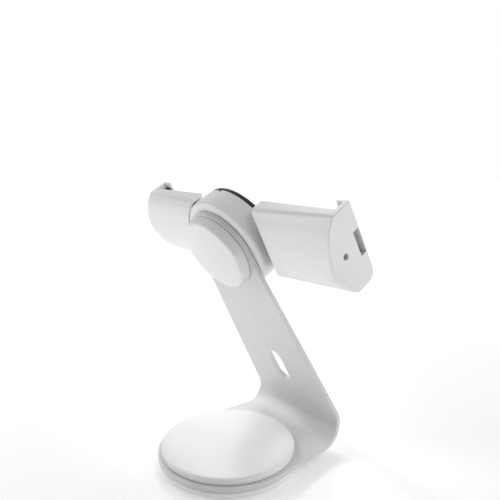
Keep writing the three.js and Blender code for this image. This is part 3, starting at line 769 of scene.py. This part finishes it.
def jaw_shell():
    tall = HALF_HEIGHT + 5
    beyond = JAW_FRONT + 5
    lip_from = JAW_OUTER - LIP_REACH
    shell = jaw_body()
    cut(
        shell,
        rod(INNER_R, (0, 0), 0, beyond, sides=256),
        jaw_hollow(),
        block((0, -tall, WALL_FACE), (END_INSIDE, tall, LIP_INSIDE)),
        block((0, -tall, LIP_INSIDE - 1), (lip_from, tall, beyond)),
    )
    slider_end = box_in(AT_HEAD, "jaw_slider_left")[1].x
    pilot_end = box_in(AT_HEAD, "slider_screw_left_1")[1].x + 1
    for height in (-POST_Y, POST_Y):
        spot = (height, SCREW_DEPTH)
        join(shell, rod(POST_R, spot, slider_end + GAP, END_INSIDE + 1, ALONG_X, 32))
        cut(shell, rod(POST_PILOT_R, spot, slider_end, pilot_end, ALONG_X, 24))
    pad_low = PAD_BOX[0] - Vector((PAD_MARGIN, PAD_MARGIN, GAP))
    pad_high = PAD_BOX[1] + Vector((PAD_MARGIN, PAD_MARGIN, 1))
    port_low = (END_INSIDE - 1, *PORT_LOW)
    port_high = (JAW_OUTER + 1, *PORT_HIGH)
    cut(
        shell,
        block(pad_low, pad_high, 1.0),
        block(port_low, port_high, 0.3, ALONG_X),
        rod(KEY_HOLE_R, (0, SCREW_DEPTH), END_INSIDE - 1, JAW_OUTER + 1, ALONG_X),
    )
    return soften(weld(shell), 0.3, 2, 45)


def back_pad():
    low, high = PAD_BOX
    pad = block(low, (high.x, high.y, high.z - 0.2), 0.8)
    rib_pitch = 4.0
    rib_count = 7
    rib_half = 0.6
    rib_inset = 2
    for k in range(rib_count):
        x = low.x + (k + 1) * rib_pitch
        rib_low = (x - rib_half, low.y + rib_inset, high.z - 0.4)
        join(pad, block(rib_low, (x + rib_half, high.y - rib_inset, high.z), 0.5))
    return soften(pad, 0.08, 1)


def channel_liner():
    low, high = box_in(AT_HEAD, "channel_liner_left")
    thick = 0.5
    lining = block((high.x - thick, low.y, low.z), high)
    join(lining, block((low.x, low.y, high.z - thick), high))
    slot_low = (high.x - 3, PORT_LOW[0] + PLUG_SLOT_INSET, PORT_LOW[1] + 0.6)
    slot_high = (high.x + 1, PORT_HIGH[0] - PLUG_SLOT_INSET, high.z - thick - 0.4)
    cut(lining, block(slot_low, slot_high, 0.5, ALONG_X))
    return soften(lining, 0.08, 1)


def clamp_screw():
    """A socket-head screw along x, with its head under the key hole and a turned thread."""
    low, high = box_in(AT_HEAD, "clamp_screw_left")
    head_length = 4.0
    head_r = high.y
    shank_r = 1.96
    root_r = shank_r - 0.35
    pitch = 0.7
    plain_length = 6
    socket_r = 1.6
    socket_depth = 2.4
    seat = high.x - head_length
    corners = [(0, low.x), (root_r, low.x), (shank_r, low.x + 0.5)]
    for k in range(int((seat - low.x - plain_length) / pitch)):
        start = low.x + 0.8 + k * pitch
        corners.extend([(shank_r, start), (root_r, start + pitch * 0.45), (shank_r, start + pitch * 0.9)])
    corners.extend([(shank_r, seat), (head_r, seat, 0.2), (head_r, high.x, 0.4), (0, high.x)])
    body = turned(rounded(corners, 3, closed=False), 48)
    cut(body, rod(socket_r, (0, 0), high.x - socket_depth, high.x + 1, sides=6))
    body.data.transform(Matrix.Translation((0, 0, SCREW_DEPTH)) @ ALONG_X)
    return body


def jaw_pieces():
    makers = {
        "jaw_shell": jaw_shell,
        "back_pad": back_pad,
        "channel_liner": channel_liner,
        "clamp_screw": clamp_screw,
    }
    # the liner's own dark rubber, in a grey chosen as painted shade: seen through each port, it stands in
    # for the shade inside the port
    liner_rubber_and_port_shade = rubber("charcoal_rubber_port_shade", 0.05)
    for stem, maker in makers.items():
        left = maker()
        right = left.copy()
        right.data = left.data.copy()
        bpy.context.scene.collection.objects.link(right)
        for side, obj in (("_left", left), ("_right", mirror_across(right))):
            stand_for(obj, stem + side, AT_HEAD)
            if stem == "channel_liner":
                obj.data.materials[0] = liner_rubber_and_port_shade


# ---------------------------------------------------------------- the CAD nodes that stay


def finish_kept_nodes():
    for name, node in frame["nodes"].items():
        if node.hide_render:
            continue
        for slot in node.material_slots:
            slot.material = MATERIALS[SLOT_OF[name]]


# ---------------------------------------------------------------- floor, light and camera

CAMERA_AT = (-0.26737, 0.20409, 0.20505)
CAMERA_AZIMUTH = 230.19
CAMERA_DOWN = 10.886
CAMERA_LENS = 39.71
SENSOR = 36.0
FLOOR_GAP = 0.0002  # in metres

# Each light of the sky: its direction, the cosine of the angle where it fades out, and its strength.
SKY = (
    ((0, 0, 1), 0.3, 0.26),
    ((0.64, 0.77, 0.35), 0.2, 0.1),
    ((-0.64, -0.77, 0.35), 0.2, 1.1),
    ((0.77, -0.64, 0.35), 0.2, 0.6),
)


def studio():
    """Four broad, soft lights in the sky, and plain white behind the object for the camera."""
    scene = bpy.context.scene
    scene.view_settings.view_transform = "Standard"
    scene.view_settings.look = "None"
    world = bpy.data.worlds.new("studio")
    world.use_nodes = True
    scene.world = world
    tree = world.node_tree
    background = tree.nodes["Background"]
    background.inputs["Color"].default_value = grey(1.0)
    way = tree.nodes.new("ShaderNodeTexCoord").outputs["Generated"]
    strength = None
    for direction, edge_cosine, brightest in SKY:
        aim = tree.nodes.new("ShaderNodeVectorMath")
        aim.operation = "DOT_PRODUCT"
        aim.inputs[1].default_value = Vector(direction).normalized()
        tree.links.new(way, aim.inputs[0])
        spread = tree.nodes.new("ShaderNodeMapRange")
        spread.interpolation_type = "SMOOTHSTEP"
        spread.inputs["From Min"].default_value = edge_cosine
        spread.inputs["To Max"].default_value = brightest
        tree.links.new(aim.outputs["Value"], spread.inputs["Value"])
        light = spread.outputs["Result"]
        if strength is not None:
            total = tree.nodes.new("ShaderNodeMath")
            total.operation = "ADD"
            tree.links.new(light, total.inputs[0])
            tree.links.new(strength, total.inputs[1])
            light = total.outputs["Value"]
        strength = light
    seen = tree.nodes.new("ShaderNodeLightPath").outputs["Is Camera Ray"]
    shown = tree.nodes.new("ShaderNodeMix")
    tree.links.new(seen, shown.inputs["Factor"])
    tree.links.new(strength, shown.inputs[2])
    shown.inputs[3].default_value = 1.0
    tree.links.new(shown.outputs[0], background.inputs["Strength"])


def ground():
    """A wide pale floor just under the foot pad, with painted light: it fades to white and glows more with
    distance, making up for the lamps' fall-off far from the object.
    """
    bm = bmesh.new()
    bmesh.ops.create_grid(bm, x_segments=4, y_segments=4, size=3.0)
    plane = new_object(bm, "floor")
    plane.location.z = -FLOOR_GAP
    f = Finish("pale_floor")
    reach = f.node("ShaderNodeVectorMath", Vector=f.place)
    reach.operation = "LENGTH"
    pale = f.mix(f.remap(f.noise(3, 4), 0, 1), grey(0.89), grey(0.91))
    # painted light: whiter and glowing more further out, so the far floor looks as bright as the lamp-lit
    # floor near the object
    colour = f.mix(f.remap(reach.outputs["Value"], 0, 1, 0.15, 0.6), pale, grey(0.99))
    f.feed(f.shader.inputs["Emission Strength"], f.remap(reach.outputs["Value"], 0.2, 0.44, 0.3, 0.9))
    plane.data.materials.append(f.set(colour, f.remap(f.noise(200), 0.6, 0.7), Emission_Color=grey(1.0)))


def soft_light(name, at, target, size, power, spread=180):
    light = bpy.data.lights.new(name, "AREA")
    light.shape = "DISK"
    light.size = size
    light.energy = power
    light.spread = math.radians(spread)
    obj = bpy.data.objects.new(name, light)
    obj.location = at
    obj.rotation_euler = (Vector(target) - Vector(at)).to_track_quat("-Z", "Y").to_euler()
    bpy.context.scene.collection.objects.link(obj)


def camera():
    data = bpy.data.cameras.new("camera")
    data.sensor_width = SENSOR
    data.lens = CAMERA_LENS
    data.clip_start = 0.01
    obj = bpy.data.objects.new("camera", data)
    obj.location = CAMERA_AT
    obj.rotation_euler = (math.radians(90 - CAMERA_DOWN), 0, math.radians(CAMERA_AZIMUTH))
    bpy.context.scene.collection.objects.link(obj)
    bpy.context.scene.camera = obj


# ---------------------------------------------------------------- build

camera()
foot_pad()
base_weight()
base_cap()
arm_plate()
pivot_cap()
drum_housing()
hub_cover()
grip_pad()
carrier_bar()
jaw_pieces()
finish_kept_nodes()
studio()
ground()
soft_light("key", at=(0.55, 0.65, 0.42), target=(0, 0, 0.08), size=0.5, power=2.3)
soft_light("kicker", at=(0.35, -0.3, 0.5), target=(0, 0, 0.08), size=0.2, power=0.8)
soft_light("base_light", at=(0.42, 0.04, 0.3), target=(0.03, -0.03, 0), size=0.1, power=0.028, spread=24)
